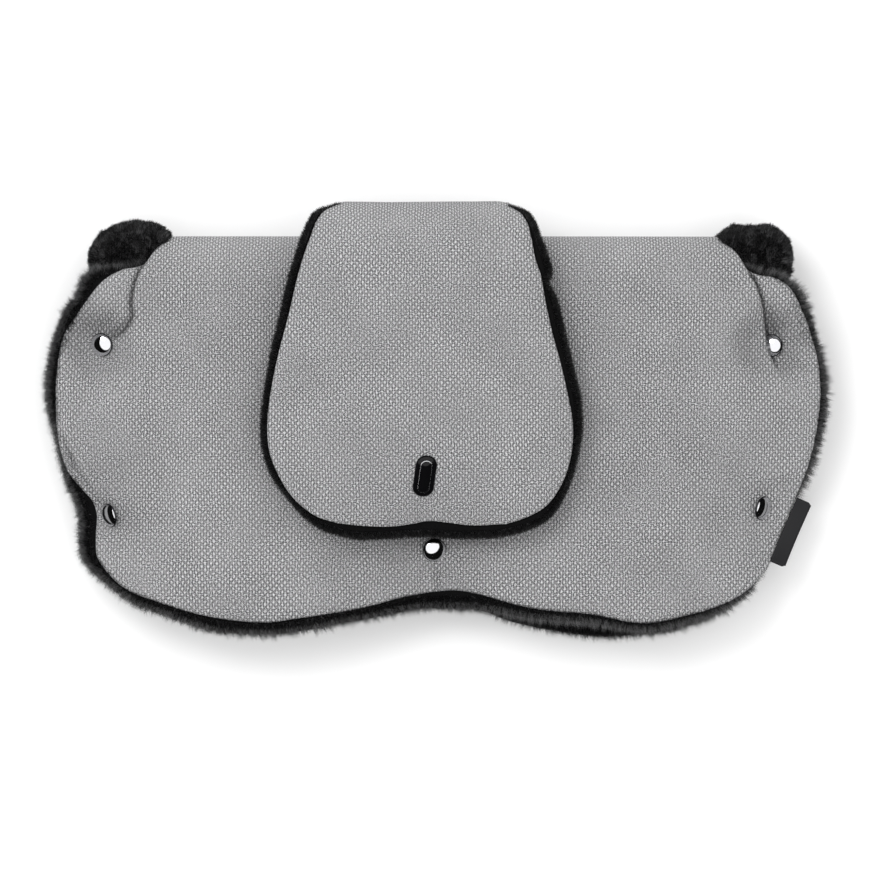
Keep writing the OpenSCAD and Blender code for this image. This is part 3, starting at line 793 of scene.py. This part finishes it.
def flap_relief(x, y):
    out = 0.5 * np.sin(x / 23.0 + 0.6) * np.cos(y / 31.0) + 0.3 * np.sin(y / 14.0 + x / 26.0)
    d, share = track_distance(x, y, [(-5, -61), (-6, -52), (-7, -44)])
    out -= 1.6 * (1 - share) * np.exp(-((d / 6.0) ** 2))
    for points, h, w in (
        ([(-84, -46), (-74, -36), (-60, -30)], 0.8, 7.0),
        ([(-60, 128), (-50, 112), (-46, 92)], 0.8, 6.0),
        ([(48, 128), (42, 112), (40, 92)], 0.8, 6.0),
        ([(20, 100), (28, 60), (30, 20)], 0.7, 9.0),
        ([(-30, 150), (-31, 138), (-33, 122)], 1.1, 8.0),
        ([(26, 150), (27, 138), (29, 124)], 1.0, 9.0),
    ):
        d, share = track_distance(x, y, points)
        out -= h * np.sin(np.pi * np.clip(0.1 + 0.8 * share, 0, 1)) * np.exp(-((d / w) ** 2))
    return out


flap_y = np.minimum(flap_grid[..., 1], 176.0)
flap_bumps = flap_relief(flap_grid[..., 0], flap_y) * rim(flap_reach, 9.0)
lift = 1.0
flap_bend = smooth((flap_grid[..., 1] - BAR_Y - 12.0) / 30.0)
flap_edge = 27.4 + 2.6 * flap_bend
flap_round = rim(flap_reach, 11.0 - 4.0 * flap_bend)
flap_top = flap_edge + (FLAP_TOP - flap_edge) * flap_round + flap_bumps + lift
flap_low = flap_edge - (0.6 + 2.0 * flap_bend) * flap_round + flap_bumps * 0.5 + lift
flap = slab(
    "flap_fabric",
    flap_lay(flap_grid[..., 0], flap_grid[..., 1], flap_top),
    flap_lay(flap_grid[..., 0], flap_grid[..., 1], flap_low),
    flap_grid,
)
flap.data.materials.append(flap_weave)
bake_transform(flap)
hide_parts("flap_cover", "flap_wadding")

# the flap's end turns back under itself and is sewn to the fold
SEAM_DEEP = 23.8
seam_x, seam_s = np.meshgrid(np.linspace(-61, 43, 80), np.linspace(0, 1, 14))
seam_y = 139.2 - SEAM_DEEP * seam_s
seam_z = 43.4 + 1.8 * seam_s - 1.2 * np.sin(np.pi * seam_s)
seam = slab(
    "flap_seam",
    np.stack([seam_x, seam_y, seam_z + 1.5], -1),
    np.stack([seam_x, seam_y, seam_z - 1.5], -1),
    np.stack([seam_x, FLAP_END_V + SEAM_DEEP * seam_s], -1),
)
seam.data.materials.append(flap_weave)
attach(seam, "front")

FLAP_FUR_BOTTOM = [(-62, -67.5), (-50, -69.8), (-32, -69.5), (-9, -68.4), (14, -69.5), (42, -68.8)]
FLAP_FUR_LEFT = [(-62, -67.5), (-73, -63.7), (-84, -56), (-94.5, -44), (-103.6, -31.5), (-109.3, -15.5),
                 (-110.6, -5), (-110, 10), (-107.8, 25), (-104, 48), (-99, 68), (-94, 90), (-89.8, 106),
                 (-85.5, 120), (-80.5, 130.5), (-77, 135.5), (-68, 138.5)]
FLAP_FUR_RIGHT = [(42, -68.8), (60, -63.7), (73.2, -56), (82, -42.5), (87.5, -28), (91.5, -10), (92.5, 2.7),
                  (91.5, 18), (87.5, 34.6), (82, 57.6), (78, 75), (75, 83.5), (71.2, 90), (73.8, 97),
                  (70.5, 110.5), (66, 122), (62.8, 130), (58, 135.5), (49, 138.5)]
fur_grid = fill(FLAP_FUR_BOTTOM, [(-64, FLAP_END_V), (46, FLAP_END_V)], flap_side(FLAP_FUR_LEFT, -64, -2.2),
                flap_side(FLAP_FUR_RIGHT, 46, -2.2), crowd_ends(110, 0.6), crowd_start(110, 0.5))
fur_loop = np.vstack([fur_grid[::-1, 0], fur_grid[0, 1:], fur_grid[1:, -1]])
fur_reach = edge_distance(fur_grid, line(fur_loop[::2], n=4000))
fur_mid = 24.6 + lift


def fur_rise(v, reach):
    """The flap's fur stands higher where the flap bends, most of all along its edge."""
    return smooth((v - BAR_Y - 12.0) / 30.0) * (2.0 + 2.8 * np.exp(-((reach / 4.0) ** 2)))


fur_bend = fur_rise(fur_grid[..., 1], fur_reach)
flap_fur = slab(
    "flap_fur_lining",
    flap_lay(fur_grid[..., 0], fur_grid[..., 1], fur_mid + fur_bend + 2.1 * rim(fur_reach, 4.5)),
    flap_lay(fur_grid[..., 0], fur_grid[..., 1], fur_mid + fur_bend - 2.4 * rim(fur_reach, 4.5)),
    fur_grid,
)
flap_fur.data.materials.append(fur_base)
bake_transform(flap_fur)
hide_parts("flap_lining")


def flap_pile(n):
    pick = rng.integers(5, 2995, n)
    swing = rng.normal(size=(2000, 3))[(pick // 6) * 3 + rng.integers(0, 3, n)]
    p, out2 = rim_points(line(fur_loop[::2], n=3000), pick, np.array([-9.0, 40.0]))
    phi = rng.uniform(-1.4, 1.5, n)
    q = p - out2 * (3.6 * (1 - np.cos(phi)))[:, None]
    off = fur_mid + fur_rise(q[:, 1], 0.0) + np.where(phi > 0, 2.3, 2.4) * np.sin(phi)
    x, v = q[:, 0], q[:, 1]
    root = flap_lay(x, v, off)
    ax = flap_lay(x + 0.5, v, off) - flap_lay(x - 0.5, v, off)
    av = flap_lay(x, v + 0.5, off) - flap_lay(x, v - 0.5, off)
    up = np.cross(ax, av)
    up /= np.linalg.norm(up, axis=1)[:, None]
    out3 = ax * out2[:, :1] + av * out2[:, 1:]
    out3 /= np.linalg.norm(out3, axis=1)[:, None]
    way = out3 * np.cos(phi)[:, None] + up * np.sin(phi)[:, None]
    way += 0.16 * swing + 0.1 * rng.normal(size=(n, 3))
    obj = tufts("flap_fur_pile", root, way, rng.uniform(1.4, 3.0, n), 0.2, np.zeros((n, 3)), 0.10)
    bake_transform(obj)


flap_pile(44000)

# ---------------------------------------------------------------- phone pocket under the flap
def pocket():
    lo, hi = (v / MM for v in (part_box("pocket_panel")[0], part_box("pocket_panel")[1]))
    s, t = crowd_ends(60, 0.5), crowd_ends(50, 0.5)
    box_line = [(lo[0] + 1, lo[1] + 1), (hi[0] - 1, lo[1] + 1)]
    top_line = [(lo[0] + 1, hi[1] - 1), (hi[0] - 1, hi[1] - 1)]
    grid = fill(box_line, top_line, [box_line[0], top_line[0]], [box_line[1], top_line[1]], s, t)
    x, y = grid[..., 0], grid[..., 1]
    d = np.minimum(np.minimum(x - x.min(), x.max() - x), y - y.min())
    puff = rim(d, 5.0)
    top = flap_lay(x, y, 12.9 + 7.2 * puff + relief(x, y) * 0.3 * (1 - puff))
    under = flap_lay(x, y, 12.9 + 6.0 * puff)
    obj = slab("phone_pocket", top, under, grid)
    obj.data.materials.append(pocket_cloth)
    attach(obj, "front")
    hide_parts("pocket_panel")


pocket()

# ---------------------------------------------------------------- snaps, badge and label
def lathe(name, profile, seg=48):
    """A closed round part about Z from (radius, height) points."""
    verts, faces, rings = [], [], []
    for r, z in profile:
        if r < 1e-6:
            rings.append([len(verts)])
            verts.append((0, 0, z))
        else:
            rings.append(list(range(len(verts), len(verts) + seg)))
            turns = [2 * math.pi * i / seg for i in range(seg)]
            verts += [(r * math.cos(a), r * math.sin(a), z) for a in turns]
    for a, b in zip(rings, rings[1:]):
        for i in range(seg):
            j = (i + 1) % seg
            if len(a) == 1:
                faces.append([a[0], b[i], b[j]])
            elif len(b) == 1:
                faces.append([a[i], b[0], a[j]])
            else:
                faces.append([a[i], b[i], b[j], a[j]])
    return outward(new_object(name, verts, faces))


CAP_POSE = {  # centre x, y and height, tilt and its direction in degrees, radius
    "upper_left": (-211.6, 51.6, 31.6, 20, 205, 7.5),
    "upper_right": (212.6, 51.2, 30.6, 20, 185, 7.2),
    "lower_left": (-206.2, -56.2, 33.2, 54, 196, 7.7),
    "lower_right": (206.4, -51.6, 33.2, 52, -16, 7.7),
    "centre": (-1.0, -78.2, 31.6, 18, -52, 7.6),
}


DOME_ANGLE, DOME_STEPS = math.radians(64), 8
DOME_FOOT, DOME_RISE = 1.2, 2.2


def cap(which):
    x, y, z, tilt, toward, r = CAP_POSE[which]
    dome = [(0.0, DOME_FOOT + DOME_RISE)]
    for i in range(1, DOME_STEPS + 1):
        a = i / DOME_STEPS * DOME_ANGLE
        height = (math.cos(a) - math.cos(DOME_ANGLE)) / (1 - math.cos(DOME_ANGLE))
        dome.append((r * 0.93 * math.sin(a) / math.sin(DOME_ANGLE), DOME_FOOT + DOME_RISE * height))
    collar = [(0.955, 0.95), (0.985, 0.85), (1.0, 0.4), (0.985, 0.0), (0.9, -0.2), (0.0, -0.2)]
    obj = lathe("snap_dome_" + which, dome + [(r * share, height) for share, height in collar])
    obj.data.materials.append(chrome)
    # painted shade: the collar below the dome takes the dark metal, for the dark outline round each cap
    obj.data.materials.append(rim_painted_shade)
    for f in obj.data.polygons:
        f.material_index = 1 if f.center.z < (DOME_FOOT - 0.05) * MM else 0
    obj.matrix_world = (
        Matrix.Translation(Vector((x, y, z)) * MM)
        @ Matrix.Rotation(math.radians(toward), 4, "Z")
        @ Matrix.Rotation(math.radians(tilt), 4, "Y")
    )
    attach(obj, "front")
    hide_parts("snap_cap_" + which)


for which in CAP_POSE:
    cap(which)


def stadium_ring(half_w, half_l, n=20):
    pts = []
    for k, cy in ((0, half_l - half_w), (1, -(half_l - half_w))):
        for i in range(n + 1):
            a = math.pi * (i / n + k)
            pts.append((half_w * math.cos(a), cy + half_w * math.sin(a)))
    return pts


def plate(name, rings, material, hollow=False):
    """A closed plate, or a hollow frame, from rings given as (half width, half length, height)."""
    verts, n = [], 0
    for hw, hl, z in rings:
        ring = stadium_ring(hw, hl)
        n = len(ring)
        verts += [(a, b, z) for a, b in ring]
    faces = [] if hollow else [list(range(n))[::-1], list(range((len(rings) - 1) * n, len(rings) * n))]
    for k in range(len(rings) - (0 if hollow else 1)):
        up = (k + 1) % len(rings)
        for i in range(n):
            j = (i + 1) % n
            faces.append([k * n + i, k * n + j, up * n + j, up * n + i])
    obj = outward(new_object(name, verts, faces, smooth_shade=False))
    obj.data.materials.append(material)
    return obj


def on_flap(obj, x, y, raise_mm):
    """Sets a small part on the flap's cloth, turned to face as the cloth does there."""
    off = FLAP_TOP + lift + float(flap_relief(np.array([x]), np.array([y]))[0]) + raise_mm

    def point(dx, dy):
        return flap_lay(np.array([x + dx]), np.array([y + dy]), np.array([off]))[0]

    p = point(0, 0)
    ax, ay = Vector(point(3, 0) - point(-3, 0)), Vector(point(0, 8) - point(0, -8))
    z = ax.cross(ay).normalized()
    xa = ax.normalized()
    ya = z.cross(xa)
    m = Matrix((xa, ya, z)).transposed().to_4x4()
    obj.matrix_world = Matrix.Translation(Vector(p) * MM) @ m @ Matrix.Rotation(math.radians(-6), 4, "Z")
    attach(obj, "flap")


BADGE_AT = (-7.0, -31.0)
badge_rings = [(5.4, 12.8, -0.6), (6.6, 14.0, 0.1), (6.7, 14.1, 0.6),
               (6.2, 13.6, 1.2), (5.5, 12.9, 1.5), (0.5, 7.9, 2.4)]
badge = plate("badge_plate", badge_rings, gloss_black)
on_flap(badge, *BADGE_AT, 0.0)
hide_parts("badge")
line_rings = [(3.3, 10.7, 1.5), (3.9, 11.3, 1.5), (3.8, 11.2, 2.05), (3.4, 10.8, 2.1)]
badge_line = plate("badge_silver_line", line_rings, silver, hollow=True)
on_flap(badge_line, *BADGE_AT, 0.0)


def label():
    """Blank woven label, folded double, held in the side seam by one long edge."""
    centre, angle = np.array([224.6, -67.2]), math.radians(66.5)
    l2, w2 = 22.0, 5.2
    t = np.array([math.cos(angle), math.sin(angle)])
    o = np.array([t[1], -t[0]])
    s, q = np.linspace(-1, 1, 41), np.linspace(-1, 1, 15)
    inner = centre + np.outer(s * l2, t) - o * w2
    seam_z = np.polyval(np.polyfit(s, inner_z(inner[:, 0], inner[:, 1]) + 8.2, 2), s)
    top, under, flat = [], [], []
    for b in s:
        row_t, row_u, row_f = [], [], []
        for a in q:
            cut = 1.0 - 0.06 * smooth((a - 0.55) / 0.45)
            p = centre + t * l2 * b * cut + o * w2 * a
            z = seam_z[len(top)] - 0.7 * (a + 1) + 0.25 * math.sin(3 * b)
            edge = min(1 - abs(a), 1 - abs(b))
            thick = 0.0 if edge < 1e-9 else 0.45
            row_t.append((p[0], p[1], z + thick))
            row_u.append((p[0], p[1], z - thick))
            row_f.append((w2 * a, l2 * b))
        top.append(row_t)
        under.append(row_u)
        flat.append(row_f)
    obj = slab("side_label_blank", np.array(top), np.array(under), np.array(flat))
    obj.data.materials.append(label_cloth)
    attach(obj, "front")
    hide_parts("side_label")


label()

# ---------------------------------------------------------------- CAD parts that stay in view
METAL_STARTS, METAL_ENDS = ("snap_socket", "snap_stud", "snap_post"), ("magnet", "badge_backing")
for n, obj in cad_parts.items():
    if n.startswith(METAL_STARTS) or n.endswith(METAL_ENDS):
        obj.data.materials.clear()
        obj.data.materials.append(steel)

# ---------------------------------------------------------------- floor, light and camera
floor_mesh = bpy.data.meshes.new("floor")
FLOOR_HALF, FLOOR_Z = 3, -0.0005
corners = [(FLOOR_HALF * a, FLOOR_HALF * b, FLOOR_Z) for a, b in ((-1, -1), (1, -1), (1, 1), (-1, 1))]
floor_mesh.from_pydata(corners, [], [(0, 1, 2, 3)])
floor = bpy.data.objects.new("floor", floor_mesh)
bpy.context.scene.collection.objects.link(floor)
floor_mesh.materials.append(principled("floor_paint", (0.93, 0.93, 0.93), 0.9, Specular_IOR_Level=0.0))
floor.visible_glossy = False

world = bpy.data.worlds.new("studio")
bpy.context.scene.world = world
world.use_nodes = True
world.node_tree.nodes["Background"].inputs[0].default_value = (1, 1, 1, 1)
world.node_tree.nodes["Background"].inputs[1].default_value = 1.2


def area_light(name, place_at, size, power):
    data = bpy.data.lights.new(name, "AREA")
    data.shape = "DISK"
    data.size = size
    data.energy = power
    obj = bpy.data.objects.new(name, data)
    bpy.context.scene.collection.objects.link(obj)
    obj.location = place_at
    obj.rotation_euler = (Vector((0, 0, 0)) - Vector(place_at)).to_track_quat("-Z", "Y").to_euler()


area_light("key", (-1.0, 1.15, 2.2), 1.3, 22)


def reflected(name, verts, faces, tone):
    """A studio board that only the polished parts reflect."""
    mesh = bpy.data.meshes.new(name)
    mesh.from_pydata(verts, [], faces)
    mesh.materials.append(principled(name, (tone, tone, tone), 0.9, Specular_IOR_Level=0.0))
    board = bpy.data.objects.new(name, mesh)
    bpy.context.scene.collection.objects.link(board)
    board.visible_camera = False
    board.visible_diffuse = False
    board.visible_shadow = False
    board.visible_transmission = False


WALL_R, WALL_TOP, WALL_N = 2.6, 2.9, 32
turns = [2 * math.pi * i / WALL_N for i in range(WALL_N)]
ring = [(WALL_R * math.cos(a), WALL_R * math.sin(a)) for a in turns]
reflected("dark_wall", [(x, y, 0.0) for x, y in ring] + [(x, y, WALL_TOP) for x, y in ring],
          [(i, (i + 1) % WALL_N, (i + 1) % WALL_N + WALL_N, i + WALL_N) for i in range(WALL_N)], 0.004)
reflected("grey_base", [(x, y, -0.0003) for x, y in ring], [tuple(range(WALL_N))], 0.24)

camera_data = bpy.data.cameras.new("camera")
camera = bpy.data.objects.new("camera", camera_data)
bpy.context.scene.collection.objects.link(camera)
distance = 3.0
camera.location = (-0.0006, -0.00545, distance + 0.045)
camera_data.sensor_width = 36.0
camera_data.lens = 36.0 * distance / (870 * 0.00063)
camera_data.clip_end = 20.0
bpy.context.scene.camera = camera
bpy.context.scene.view_settings.view_transform = "Standard"
